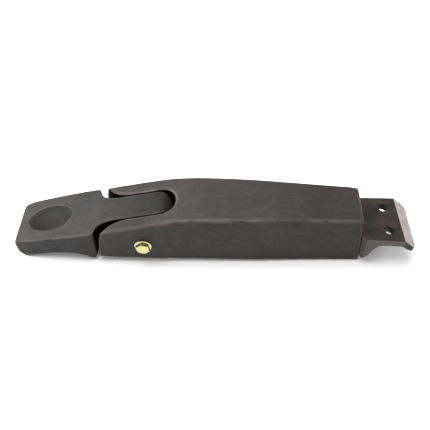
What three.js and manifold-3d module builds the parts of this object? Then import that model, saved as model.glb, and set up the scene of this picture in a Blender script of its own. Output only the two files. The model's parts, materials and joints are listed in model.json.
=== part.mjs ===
// Knife handle with a sprung thumb lever at its tail and a steel blade holder at its nose.
// Millimetres. +X runs to the nose, +Z is up, Y = 0 is the middle plane. The origin is on the
// grip's flat underside, right below the axis of the lever's pivot bolt.
import * as THREE from 'three';
import { mergeVertices } from 'three/addons/utils/BufferGeometryUtils.js';
import Module from 'manifold-3d';

const wasm = await Module();
wasm.setup();

// ---------------------------------------------------------------- driving dimensions
const GAP = 0.3;                // clearance between pieces that touch
const FAR = 60;                 // length of a cut that has to pass right through

const PIVOT_Z = 12.3;           // height of the pivot bolt's axis
const TOP_SLOPE = 0.28;         // rise per unit length of the grip's tail and of the lever
const SLOPE_Z = 27.4;           // height of the sloping top right above the pivot
const slopeTop = (x) => SLOPE_Z + TOP_SLOPE * x;

const ARM_END_X = -23.3;        // top of the fork arms' tail ends
const ARM_LEAN = 0.11;          // the arm ends lean out by this much per unit of depth
const MOUTH_X = 118.4;          // top of the nose end face
const MOUTH_LEAN = 0.1;         // the nose end face leans out towards the bottom
const mouthX = (z) => MOUTH_X + MOUTH_LEAN * (GRIP_TOP - z);
const GRIP_TOP = 34.4;          // highest point of the grip
const WALL = 2.8;               // wall of the grip
const GRIP_HALF = [[-32, 17.1], [0, 17.2], [24, 16.2], [62, 15.4], [92, 13.7], [130, 12.3]];

const SLOT_HALF = 8.7;          // half width of the slot between the fork arms
const SLOT_END_X = 17.2;        // rounded front end of the slot
const TONGUE_HALF = 8.3;        // half width of the lever's tongue
const TONGUE_SINK = 2;          // how far the tongue's front lies below the grip's top
const FLARE = { x: -8, y: 20.1, rx: 15.3, ry: 11.4 };  // ellipse that rounds each arm's tail end
const TAIL_X = -74.4;           // tail end of the lever

const CAVITY_X = [20, 115.5];   // the hollow in the grip, tail end and nose end
const COVER_T = 2.4;            // thickness of the base cover
const COVER_TAIL_X = -19;       // tail end of the base cover

const TANG = { tail: 9, nose: 115.6, half: 5, z0: 4.4, z1: 7.4 };
const TRAVEL = 15;              // how far the blade holder pulls out
const STOP_X = 66;              // stop pin in the tang's slot
const STOP_R = 2;

const SHOE_X = 27;              // brake shoe's pin, ahead of the pivot at the same height
const PIN_R = 1.25;

const BOLT_R = 2;               // M4 pivot bolt
const HEX_FLATS = 7;            // across flats, bolt head and nut
const SLEEVE_R = 4;             // steel sleeve that the lever turns on
const HUB_R = 7;                // lever's hub
const ARM_SIDE_Y = 17.2;        // outer faces of the fork arms at the bolt

const PLATE = { z0: 17.6, z1: 22.2, root: 12.2, half: 15.9, fold: 142, tip: 149.7, tipZ: 16 };
const BEVEL_SKEW = 0.045;       // the ground bevel's slight turn about the vertical
const HOLE = { x: 134.6, y: 8.25, r: 2.65, skew: 0.06 };  // blade screw holes, set slightly askew
const CORE_PINS = [-11, -18];   // cross pins that hold the steel core in the lever
const RIVETS = [105.5, 111.5];  // rivets that join tang and blade holder
const SCREWS = [[38, 9.4, 3.2], [38, -9.4, 3.2], [98, 7.5, 2.2], [98, -7.5, 2.2]];  // x, y, boss radius

// ---------------------------------------------------------------- finishes
const finish = (color, roughness, metalness) => ({ color, roughness, metalness });
const CHARCOAL = finish(0x5b5653, 0.62, 0);
const LEVER_GREY = finish(0x565352, 0.6, 0);
const BLACK_STEEL = finish(0x3b3433, 0.5, 0.7);
const BRIGHT_STEEL = finish(0xa9a9ab, 0.35, 1);
const YELLOW_ZINC = finish(0xd9cc85, 0.3, 1);
const NYLON = finish(0xe3e0d6, 0.55, 0);
const BRASS = finish(0xb89a56, 0.4, 1);

// ---------------------------------------------------------------- solids and booleans
/** Closed three.js geometry as a solid for joining and cutting. */
function solid(geometry) {
  const bare = geometry.clone();
  bare.deleteAttribute('normal');
  bare.deleteAttribute('uv');
  const merged = mergeVertices(bare, 1e-4);
  const mesh = new wasm.Mesh({
    numProp: 3,
    vertProperties: new Float32Array(merged.attributes.position.array),
    triVerts: new Uint32Array(merged.index.array),
  });
  return new wasm.Manifold(mesh);
}

/** Solid back to a geometry that a mesh can show. */
function geometryOf(body) {
  const mesh = body.getMesh();
  const geometry = new THREE.BufferGeometry();
  geometry.setAttribute('position', new THREE.BufferAttribute(new Float32Array(mesh.vertProperties), 3));
  geometry.setIndex(new THREE.BufferAttribute(new Uint32Array(mesh.triVerts), 1));
  geometry.computeVertexNormals();
  return geometry;
}

const cutAll = (body, cuts) => cuts.reduce((rest, cut) => rest.subtract(cut), body);
const joinAll = (bodies) => bodies.reduce((sum, body) => sum.add(body));

/** Box between two corners. */
function box(x0, x1, y0, y1, z0, z1) {
  const geometry = new THREE.BoxGeometry(x1 - x0, y1 - y0, z1 - z0);
  geometry.translate((x0 + x1) / 2, (y0 + y1) / 2, (z0 + z1) / 2);
  return solid(geometry);
}

/** Plan outline (x, y) made into a solid from z0 to z1. */
function fromPlan(shape, z0, z1, segments = 8) {
  const settings = { depth: z1 - z0, bevelEnabled: false, curveSegments: segments };
  return solid(new THREE.ExtrudeGeometry(shape, settings).translate(0, 0, z0));
}

/** Side outline (x, z) made into a solid from y0 to y1. */
function fromSide(shape, y0, y1, segments = 8) {
  const settings = { depth: y1 - y0, bevelEnabled: false, curveSegments: segments };
  return solid(new THREE.ExtrudeGeometry(shape, settings).rotateX(Math.PI / 2).translate(0, y1, 0));
}

/** Upright cylinder. */
function post(x, y, z0, z1, radius, sides = 20) {
  const geometry = new THREE.CylinderGeometry(radius, radius, z1 - z0, sides);
  return solid(geometry.rotateX(Math.PI / 2).translate(x, y, (z0 + z1) / 2));
}

/** Cylinder along Y. */
function axle(x, z, y0, y1, radius, sides = 32) {
  const geometry = new THREE.CylinderGeometry(radius, radius, y1 - y0, sides);
  return solid(geometry.translate(x, (y0 + y1) / 2, z));
}

/** Outline that is the same on both sides of Y = 0, from its points on the +Y side. */
function mirroredPlan(points) {
  const shape = new THREE.Shape();
  const [first, ...rest] = points;
  shape.moveTo(first[0], -first[1]);
  shape.splineThru(rest.map(([x, y]) => new THREE.Vector2(x, -y)));
  const back = [...points].reverse();
  shape.lineTo(back[0][0], back[0][1]);
  shape.splineThru(back.slice(1).map(([x, y]) => new THREE.Vector2(x, y)));
  return shape;
}

// ---------------------------------------------------------------- grip
/** Plan of the grip from tail to nose, less an inset for inner walls. */
const gripPlan = (inset) => mirroredPlan(GRIP_HALF.map(([x, y]) => [x, y - inset]));

/** The part of a plan between two stations, from z0 to z1. */
const gripStretch = (inset, x0, x1, z0, z1) => fromPlan(gripPlan(inset), z0, z1)
  .intersect(box(x0, x1, -30, 30, z0 - 1, z1 + 1));

/** Side outline of the grip, lowered by an inset for the inner roof. */
function gripSide(inset) {
  const side = new THREE.Shape();
  side.moveTo(ARM_END_X - ARM_LEAN * slopeTop(ARM_END_X), 0);
  side.lineTo(ARM_END_X, slopeTop(ARM_END_X) - inset);
  side.lineTo(17, slopeTop(17) - inset);
  side.quadraticCurveTo(23, slopeTop(23) - inset, 34, GRIP_TOP - 0.4 - inset);
  side.quadraticCurveTo(76, GRIP_TOP + 0.6 - inset, mouthX(GRIP_TOP - 0.3), GRIP_TOP - 0.3 - inset);
  side.lineTo(mouthX(0), 0);
  return side;
}

/** One side of the flare that rounds the arms' tail ends; it leans as the ends do. */
function armFlare(side) {
  const shape = new THREE.Shape();
  const { x, y, rx, ry } = FLARE;
  shape.moveTo(x + 1, 0);
  shape.lineTo(-45, 0);
  shape.lineTo(-45, side * (ARM_SIDE_Y - 1));
  const start = Math.PI - Math.asin((y - ARM_SIDE_Y + 1) / ry);
  shape.absellipse(x, side * y, rx, ry, -side * start, -side * Math.PI / 2, side < 0, 0);
  shape.lineTo(x + 1, side * SLOT_HALF);
  const settings = { depth: FAR + 1, bevelEnabled: false, curveSegments: 14 };
  const lean = new THREE.Matrix4().makeShear(0, 0, 0, 0, ARM_LEAN, 0);
  const flare = new THREE.ExtrudeGeometry(shape, settings).translate(0, 0, -1).applyMatrix4(lean);
  return solid(flare.translate(-ARM_LEAN * slopeTop(ARM_END_X), 0, 0));
}

/** U slot with a round front end, which the lever's tongue lies in. */
function tongueSlot() {
  const shape = new THREE.Shape();
  const roundX = SLOT_END_X - SLOT_HALF;
  shape.moveTo(-20, -SLOT_HALF);
  shape.lineTo(roundX, -SLOT_HALF);
  shape.absarc(roundX, 0, SLOT_HALF, -Math.PI / 2, Math.PI / 2, false);
  shape.lineTo(-20, SLOT_HALF);
  return joinAll([fromPlan(shape, -1, FAR, 10), armFlare(-1), armFlare(1)]);
}

/** Roof ribs inside the grip: one along the middle and three across. */
function gripRibs() {
  const ribZ = 13.2;
  const along = box(36, CAVITY_X[1] + 1, -0.8, 0.8, ribZ, FAR);
  const across = [36, 56, 76, 96].map((x) => box(x, x + 1.6, -FAR / 2, FAR / 2, ribZ, FAR));
  return joinAll([along, ...across]);
}

function gripShell() {
  const outer = fromPlan(gripPlan(0), -1, FAR).intersect(fromSide(gripSide(0), -30, 30));
  const inner = gripStretch(WALL, ...CAVITY_X, -1, FAR)
    .intersect(fromSide(gripSide(WALL + 0.2), -30, 30).add(box(0, 130, -30, 30, -2, 1)));
  const bosses = SCREWS.map(([x, y, r]) => post(x, y, COVER_T + GAP, 14, r));
  const fill = gripRibs().add(joinAll(bosses));
  const hollow = inner.subtract(fill);
  const neckWay = box(110, 140, -9.9, 9.9, 3.2, 20.4);
  const leverWay = box(0, 24, -SLOT_HALF, SLOT_HALF, -1, 24.5);
  const boltWay = axle(0, PIVOT_Z, -30, 30, BOLT_R + GAP, 24);
  const nutWell = axle(0, PIVOT_Z, 12.2, 30, 4.8, 32);
  const screwHoles = SCREWS.map(([x, y]) => post(x, y, -1, 9, 1.5, 12));
  return cutAll(outer, [hollow, tongueSlot(), leverWay, neckWay, boltWay, nutWell, ...screwHoles]);
}

function baseCover() {
  const wide = gripStretch(WALL + GAP, CAVITY_X[0] + GAP, CAVITY_X[1] - GAP, 0, COVER_T);
  const tail = box(COVER_TAIL_X, 30, -SLOT_HALF + GAP, SLOT_HALF - GAP, 0, COVER_T);
  const screwWells = SCREWS.map(([x, y]) => post(x, y, -1, 1.8, 2.3));
  const screwHoles = SCREWS.map(([x, y]) => post(x, y, -1, 9, 1.5, 12));
  return cutAll(wide.add(tail), [...screwWells, ...screwHoles]);
}

/** Pan head screw that holds the cover, head down in its well, with a cross recess. */
function coverScrew([x, y]) {
  const head = post(x, y, 0.3, 1.5, 2);
  const shank = post(x, y, 1.4, 8.4, 1.2, 12);
  const slotAlong = box(x - 1.3, x + 1.3, y - 0.3, y + 0.3, 0, 0.9);
  const slotAcross = box(x - 0.3, x + 0.3, y - 1.3, y + 1.3, 0, 0.9);
  return cutAll(head.add(shank), [slotAlong, slotAcross]);
}

// ---------------------------------------------------------------- pivot
const HEX_R = HEX_FLATS / Math.sqrt(3);

/** Hexagonal prism along Y, turned so that a corner stands a little off the top. */
function hexPrism(y0, y1) {
  const geometry = new THREE.CylinderGeometry(HEX_R, HEX_R, y1 - y0, 6);
  geometry.rotateY(THREE.MathUtils.degToRad(11)).translate(0, (y0 + y1) / 2, PIVOT_Z);
  return solid(geometry);
}

function pivotBolt() {
  const flangeY = -ARM_SIDE_Y - GAP;
  const flange = axle(0, PIVOT_Z, flangeY - 0.9, flangeY, 4.8);
  const head = hexPrism(flangeY - 3.1, flangeY - 0.8);
  const shank = axle(0, PIVOT_Z, flangeY - 0.1, ARM_SIDE_Y + 0.4, BOLT_R, 24);
  return joinAll([flange, head, shank]);
}

const ring = (y0, y1, outer, inner) => axle(0, PIVOT_Z, y0, y1, outer)
  .subtract(axle(0, PIVOT_Z, y0 - 1, y1 + 1, inner, 24));

const lockNut = () => hexPrism(13.6, 17.1).subtract(axle(0, PIVOT_Z, 13, 18, BOLT_R + GAP, 24));

/** Compression spring that lifts the lever's tail; its ends are ground flat. */
function leverSpring() {
  const [x, wire, coil, z0, z1, turns] = [-14, 0.45, 2.6, 3.2, 7.5, 4];
  class Helix extends THREE.Curve {
    getPoint(t) {
      const angle = 2 * Math.PI * turns * t;
      return new THREE.Vector3(x + coil * Math.cos(angle), coil * Math.sin(angle), z0 + (z1 - z0) * t);
    }
  }
  const section = new THREE.Shape().absarc(0, 0, wire, 0, 2 * Math.PI);
  return new THREE.ExtrudeGeometry(section, { steps: turns * 14, curveSegments: 6, extrudePath: new Helix() });
}

// ---------------------------------------------------------------- lever
/** Plan of paddle and tongue: the tongue's round front, the shoulders and the square tail. */
function leverPlan() {
  const shape = new THREE.Shape();
  const frontX = SLOT_END_X - 2 - TONGUE_HALF;
  shape.moveTo(frontX, TONGUE_HALF);
  shape.lineTo(-19.5, TONGUE_HALF);
  shape.quadraticCurveTo(-25.6, TONGUE_HALF + 0.4, -27.2, 15.6);
  shape.quadraticCurveTo(-27.7, 17.2, -29.5, 17.2);
  shape.quadraticCurveTo(-50, 16.6, TAIL_X + 6, 15.1);
  shape.quadraticCurveTo(TAIL_X, 14.4, TAIL_X, 9.5);
  shape.lineTo(TAIL_X, -9.5);
  shape.quadraticCurveTo(TAIL_X, -14.4, TAIL_X + 6, -15.1);
  shape.quadraticCurveTo(-50, -16.6, -29.5, -17.2);
  shape.quadraticCurveTo(-27.7, -17.2, -27.2, -15.6);
  shape.quadraticCurveTo(-25.6, -TONGUE_HALF - 0.4, -19.5, -TONGUE_HALF);
  shape.lineTo(frontX, -TONGUE_HALF);
  shape.absarc(frontX, 0, TONGUE_HALF, -Math.PI / 2, Math.PI / 2, false);
  return shape;
}

/** Side outline of the lever: sloping top, arched underside and hub. */
function leverSide() {
  const side = new THREE.Shape();
  const frontTop = slopeTop(SLOT_END_X) - TONGUE_SINK;
  side.moveTo(-24, slopeTop(-24));
  side.lineTo(TAIL_X + 5.6, slopeTop(TAIL_X + 5.6));
  side.quadraticCurveTo(TAIL_X - 0.4, slopeTop(TAIL_X), TAIL_X + 0.2, 0);
  side.quadraticCurveTo(TAIL_X + 0.6, -5, TAIL_X + 5, -5);
  side.quadraticCurveTo(-62, -4, -56, -1.8);
  side.quadraticCurveTo(-43, 1.3, -32, -1.1);
  side.lineTo(-28.8, -2.2);
  side.quadraticCurveTo(-26.8, 5, -22, 8.3);
  side.lineTo(-9, 8.3);
  side.absarc(0, PIVOT_Z, HUB_R, Math.PI * 1.2, Math.PI * 2.06, false);
  side.quadraticCurveTo(8.5, 22, 19, frontTop - 4);
  side.lineTo(19, frontTop);
  return side;
}

/** Shallow thumb hollow: a flattened ball sunk into the paddle's top. */
function thumbHollow() {
  const ball = new THREE.SphereGeometry(1, 28, 18).scale(13.6, 9.6, 2.8);
  return solid(ball.rotateY(-Math.atan(TOP_SLOPE)).translate(-55, 0, slopeTop(-55) + 0.6));
}

function thumbLever() {
  const blank = fromPlan(leverPlan(), -10, FAR, 10).intersect(fromSide(leverSide(), -30, 30, 10));
  const bore = axle(0, PIVOT_Z, -30, 30, SLEEVE_R + GAP);
  const coreWay = box(-21.4, 30, -1.8, 1.8, -10, 18.9);
  const washerWells = [[7.4, 12], [-12, -7.4]].map(([y0, y1]) => axle(0, PIVOT_Z, y0, y1, 7.2));
  const pinHoles = CORE_PINS.map((x) => axle(x, PIVOT_Z, -30, 30, 1.5, 16));
  return cutAll(blank, [bore, coreWay, thumbHollow(), ...washerWells, ...pinHoles]);
}

/** Steel plate in the middle of the lever: eye on the sleeve, arm to the brake shoe's pin. */
function leverCore() {
  const rear = box(-21, 0, -1.5, 1.5, PIVOT_Z - 3, PIVOT_Z + 3);
  const front = box(0, SHOE_X + 4, -1.5, 1.5, PIVOT_Z - 2.6, PIVOT_Z + 3.2);
  const eye = axle(0, PIVOT_Z, -1.5, 1.5, 6.3);
  const bore = axle(0, PIVOT_Z, -5, 5, SLEEVE_R + GAP);
  const slotEnds = [-0.7, 0.7].map((dx) => axle(SHOE_X + dx, PIVOT_Z, -5, 5, PIN_R + GAP, 20));
  const r = PIN_R + GAP;
  const slotMiddle = box(SHOE_X - 0.7, SHOE_X + 0.7, -5, 5, PIVOT_Z - r, PIVOT_Z + r);
  const pinHoles = CORE_PINS.map((x) => axle(x, PIVOT_Z, -5, 5, 1.5, 16));
  return cutAll(joinAll([rear, front, eye]), [bore, ...slotEnds, slotMiddle, ...pinHoles]);
}

// ---------------------------------------------------------------- brake
function brakeShoe() {
  const foot = box(SHOE_X - 4, SHOE_X + 4, -TANG.half, TANG.half, TANG.z1 + GAP, 9.4);
  const block = box(SHOE_X - 3, SHOE_X + 3, -4.4, 4.4, 9.2, PIVOT_Z + 2.8);
  const coreWay = box(SHOE_X - 5, SHOE_X + 5.5, -1.9, 1.9, 8.7, 30);
  const pinHole = axle(SHOE_X, PIVOT_Z, -6, 6, PIN_R + GAP, 20);
  return cutAll(foot.add(block), [coreWay, pinHole]);
}

/** Bridge over the tang that stops the shoe from being dragged along. */
function shoeGuide() {
  const outer = box(SHOE_X - 5.6, SHOE_X + 5.6, -7.2, 7.2, COVER_T + GAP, 9);
  const shoeWay = box(SHOE_X - 4.4, SHOE_X + 4.4, -TANG.half - 0.4, TANG.half + 0.4, 0, 20);
  const tangWay = box(0, 60, -TANG.half - 0.4, TANG.half + 0.4, 0, TANG.z1 + GAP);
  return cutAll(outer, [shoeWay, tangWay]);
}

// ---------------------------------------------------------------- tang and nose
function tangBar() {
  const bar = box(TANG.tail, TANG.nose, -TANG.half, TANG.half, TANG.z0, TANG.z1);
  const [rear, front] = [STOP_X - TRAVEL, STOP_X];
  const ends = [rear, front].map((x) => post(x, 0, 0, 12, STOP_R + GAP));
  const middle = box(rear, front, -STOP_R - GAP, STOP_R + GAP, 0, 12);
  const rivetHoles = RIVETS.map((x) => post(x, 0, 0, 12, 2.2));
  return cutAll(bar, [...ends, middle, ...rivetHoles]);
}

/** Rivet through tang and lug, with a flat head at both ends. */
function tangRivet(x) {
  const heads = [post(x, 0, 3.5, TANG.z0 - GAP, 2.6), post(x, 0, 12.6, 13, 2.6)];
  return joinAll([...heads, post(x, 0, 3.6, 12.7, 1.9)]);
}

function guideRail(side) {
  const rail = box(44, 94, 3.8, 7.6, COVER_T + GAP, 8.9);
  const groove = box(40, 98, 3, TANG.half + GAP, TANG.z0 - GAP, TANG.z1 + GAP);
  const body = rail.subtract(groove);
  return side > 0 ? body : body.mirror([0, 1, 0]);
}

function stopPin() {
  return post(STOP_X, 0, COVER_T + GAP, TANG.z0 - GAP, 3).add(post(STOP_X, 0, 3.5, 9, STOP_R));
}

/** Side outline of the nose before its bevel is ground: flat top, thin tip and curved root. */
function noseSide() {
  const side = new THREE.Shape();
  const back = (z) => mouthX(z) + GAP + 0.1;
  side.moveTo(back(PLATE.z1), PLATE.z1);
  side.lineTo(back(4.8), 4.8);
  side.quadraticCurveTo(125.6, 5.4, 127, 12);
  side.quadraticCurveTo(127.6, PLATE.z0 - 0.6, 131, PLATE.z0);
  side.lineTo(142.2, PLATE.z0);
  side.lineTo(143.4, PLATE.z0 - 0.8);
  side.lineTo(PLATE.tip - 1.8, PLATE.tipZ - 1.4);
  side.quadraticCurveTo(PLATE.tip, PLATE.tipZ - 1.3, PLATE.tip + 1, PLATE.tipZ);
  side.lineTo(PLATE.tip + 1, PLATE.z1);
  return side;
}

/** Plan of the nose: it widens from the grip's mouth to a slightly bowed edge. */
function nosePlan() {
  const { root, half, tip } = PLATE;
  const rootX = 119;
  const shape = new THREE.Shape();
  shape.moveTo(rootX, -root);
  shape.lineTo(rootX + 3.2, -half + 0.7);
  shape.quadraticCurveTo(rootX + 12, -half + 0.3, tip - 3, -half);
  shape.quadraticCurveTo(tip - 1, -half, tip - 0.6, -half + 2);
  shape.quadraticCurveTo(tip + 0.7, 0, tip - 0.6, half - 2);
  shape.quadraticCurveTo(tip - 1, half, tip - 3, half);
  shape.quadraticCurveTo(rootX + 12, half - 0.3, rootX + 3.2, half - 0.7);
  shape.lineTo(rootX, root);
  return shape;
}

/** What the grinding wheel takes off the front: all above a plane that falls to the tip. */
function noseBevel() {
  const { z1, fold, tip, tipZ } = PLATE;
  const block = new THREE.BoxGeometry(30, 60, 20).translate(12, 0, 10);
  block.rotateY(Math.atan2(z1 - tipZ, tip - fold)).rotateZ(BEVEL_SKEW).translate(fold, 0, z1);
  return solid(block);
}

function bladeHolder() {
  const blank = fromSide(noseSide(), -20, 20).intersect(fromPlan(nosePlan(), 0, 40, 10));
  const plate = blank.subtract(noseBevel());
  const neck = box(116, 125, -9.6, 9.6, 4, 20);
  const lug = box(101.5, 117, -6, 6, TANG.z1 + GAP, 12.3);
  const rivetHoles = RIVETS.map((x) => post(x, 0, 0, 15, 2.2));
  const bladeHoles = [HOLE.y, -HOLE.y].map((y) => post(HOLE.x - HOLE.skew * y, y, 10, 30, HOLE.r, 28));
  return cutAll(joinAll([plate, neck, lug]), [...rivetHoles, ...bladeHoles]);
}

// ---------------------------------------------------------------- assembly
/** Named mesh of one piece. */
function piece(name, body, look) {
  const geometry = body instanceof THREE.BufferGeometry ? body : geometryOf(body);
  const mesh = new THREE.Mesh(geometry, new THREE.MeshStandardMaterial(look));
  mesh.name = name;
  return mesh;
}

function gripGroup() {
  const group = new THREE.Group();
  group.add(piece('grip_shell', gripShell(), CHARCOAL));
  group.add(piece('base_cover', baseCover(), CHARCOAL));
  SCREWS.forEach((place, i) => group.add(piece(`cover_screw_${i + 1}`, coverScrew(place), BRIGHT_STEEL)));
  group.add(piece('pivot_bolt', pivotBolt(), YELLOW_ZINC));
  group.add(piece('pivot_lock_nut', lockNut(), YELLOW_ZINC));
  group.add(piece('pivot_washer', ring(12.5, 13.3, 4.4, BOLT_R + GAP), YELLOW_ZINC));
  group.add(piece('pivot_sleeve', ring(-8.4, 8.4, SLEEVE_R, BOLT_R + GAP), BRIGHT_STEEL));
  group.add(piece('thrust_washer_near', ring(-8.4, -7.7, 6.6, SLEEVE_R + GAP), NYLON));
  group.add(piece('thrust_washer_far', ring(7.7, 8.4, 6.6, SLEEVE_R + GAP), NYLON));
  group.add(piece('lever_spring', leverSpring(), BRIGHT_STEEL));
  group.add(piece('shoe_guide', shoeGuide(), NYLON));
  group.add(piece('guide_rail_near', guideRail(-1), NYLON));
  group.add(piece('guide_rail_far', guideRail(1), NYLON));
  group.add(piece('stop_pin', stopPin(), BRIGHT_STEEL));
  return group;
}

function leverGroup() {
  const group = new THREE.Group();
  group.add(piece('thumb_lever', thumbLever(), LEVER_GREY));
  group.add(piece('lever_core', leverCore(), BRIGHT_STEEL));
  CORE_PINS.forEach((x, i) => {
    group.add(piece(`core_pin_${i + 1}`, axle(x, PIVOT_Z, -7.4, 7.4, 1.2, 16), BRIGHT_STEEL));
  });
  return group;
}

function brakeGroup() {
  const group = new THREE.Group();
  group.add(piece('brake_shoe', brakeShoe(), BRASS));
  group.add(piece('shoe_pin', axle(SHOE_X, PIVOT_Z, -4.4, 4.4, PIN_R, 20), BRIGHT_STEEL));
  return group;
}

function noseGroup() {
  const group = new THREE.Group();
  group.add(piece('blade_holder', bladeHolder(), BLACK_STEEL));
  group.add(piece('tang_bar', tangBar(), BRIGHT_STEEL));
  RIVETS.forEach((x, i) => group.add(piece(`tang_rivet_${i + 1}`, tangRivet(x), BRIGHT_STEEL)));
  return group;
}

const knife = new THREE.Group();
knife.add(gripGroup(), leverGroup(), brakeGroup(), noseGroup());
export default knife;
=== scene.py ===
"""Looks of a knife handle: moulded grip, sprung thumb lever and forged blade holder.

Metres, +X to the nose, +Z up, Y = 0 on the middle plane, origin below the pivot bolt.
"""

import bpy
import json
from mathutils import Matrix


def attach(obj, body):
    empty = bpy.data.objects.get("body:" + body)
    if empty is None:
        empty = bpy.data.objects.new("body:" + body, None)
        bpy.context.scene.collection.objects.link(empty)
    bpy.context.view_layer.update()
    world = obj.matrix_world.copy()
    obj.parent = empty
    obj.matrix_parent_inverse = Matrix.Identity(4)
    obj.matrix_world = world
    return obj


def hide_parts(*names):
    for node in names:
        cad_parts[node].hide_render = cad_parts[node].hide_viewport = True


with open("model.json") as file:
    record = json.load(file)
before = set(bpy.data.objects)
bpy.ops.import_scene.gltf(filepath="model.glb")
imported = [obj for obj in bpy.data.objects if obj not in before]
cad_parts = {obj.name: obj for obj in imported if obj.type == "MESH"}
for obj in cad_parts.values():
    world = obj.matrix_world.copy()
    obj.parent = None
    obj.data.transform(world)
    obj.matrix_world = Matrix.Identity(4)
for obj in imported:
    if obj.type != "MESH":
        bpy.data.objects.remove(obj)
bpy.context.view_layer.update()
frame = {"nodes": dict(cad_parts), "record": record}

import json
import logging
import math
from dataclasses import dataclass, field
from enum import Enum
from typing import Callable, Sequence

import bmesh
import bpy
import numpy as np
from mathutils import Matrix, Vector

log = logging.getLogger("knife_handle")

MM = 0.001
NEAR = 1e-6


class Body(Enum):
    """Bodies of the frame that pieces ride on."""

    GRIP = "grip"
    LEVER = "lever"
    BRAKE = "brake"
    NOSE = "nose"


class Cut(Enum):
    """Ways to combine two solids."""

    TAKE_AWAY = "DIFFERENCE"
    ADD = "UNION"
    KEEP_COMMON = "INTERSECT"


class Sum(Enum):
    """Ways to work out one value from two."""

    PLUS = "ADD"
    TIMES = "MULTIPLY"


class Element(Enum):
    """Kinds of mesh element that the bench can select."""

    VERTEX = "verts"
    EDGE = "edges"
    FACE = "faces"


# ------------------------------------------------------------------ bench tools
@dataclass(frozen=True)
class Profile:
    """Smooth curve through listed points, read as a height over a length.

    Attributes:
        points: Pairs of length and height in millimetres, in rising order of length.
    """

    points: tuple[tuple[float, float], ...]

    def at(self, x: float) -> float:
        """Reads the curve.

        Args:
            x: Length in millimetres.

        Returns:
            Height in millimetres, held level beyond the end points.
        """
        pts = self.points
        if x <= pts[0][0]:
            return pts[0][1]
        if x >= pts[-1][0]:
            return pts[-1][1]
        i = max(k for k in range(len(pts) - 1) if pts[k][0] <= x)
        (x0, y0), (x1, y1) = pts[i], pts[i + 1]
        span = x1 - x0
        slope0 = self._slope(i)
        slope1 = self._slope(i + 1)
        t = (x - x0) / span
        rise = y0 * (1 + 2 * t) * (1 - t) ** 2 + y1 * t * t * (3 - 2 * t)
        return rise + span * (slope0 * t * (1 - t) ** 2 - slope1 * t * t * (1 - t))

    def _slope(self, i: int) -> float:
        """Works out the slope of the curve at one of its points.

        Args:
            i: Index of the point.

        Returns:
            Slope, from the points on either side of it.
        """
        low = self.points[max(i - 1, 0)]
        high = self.points[min(i + 1, len(self.points) - 1)]
        return (high[1] - low[1]) / (high[0] - low[0])


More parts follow.
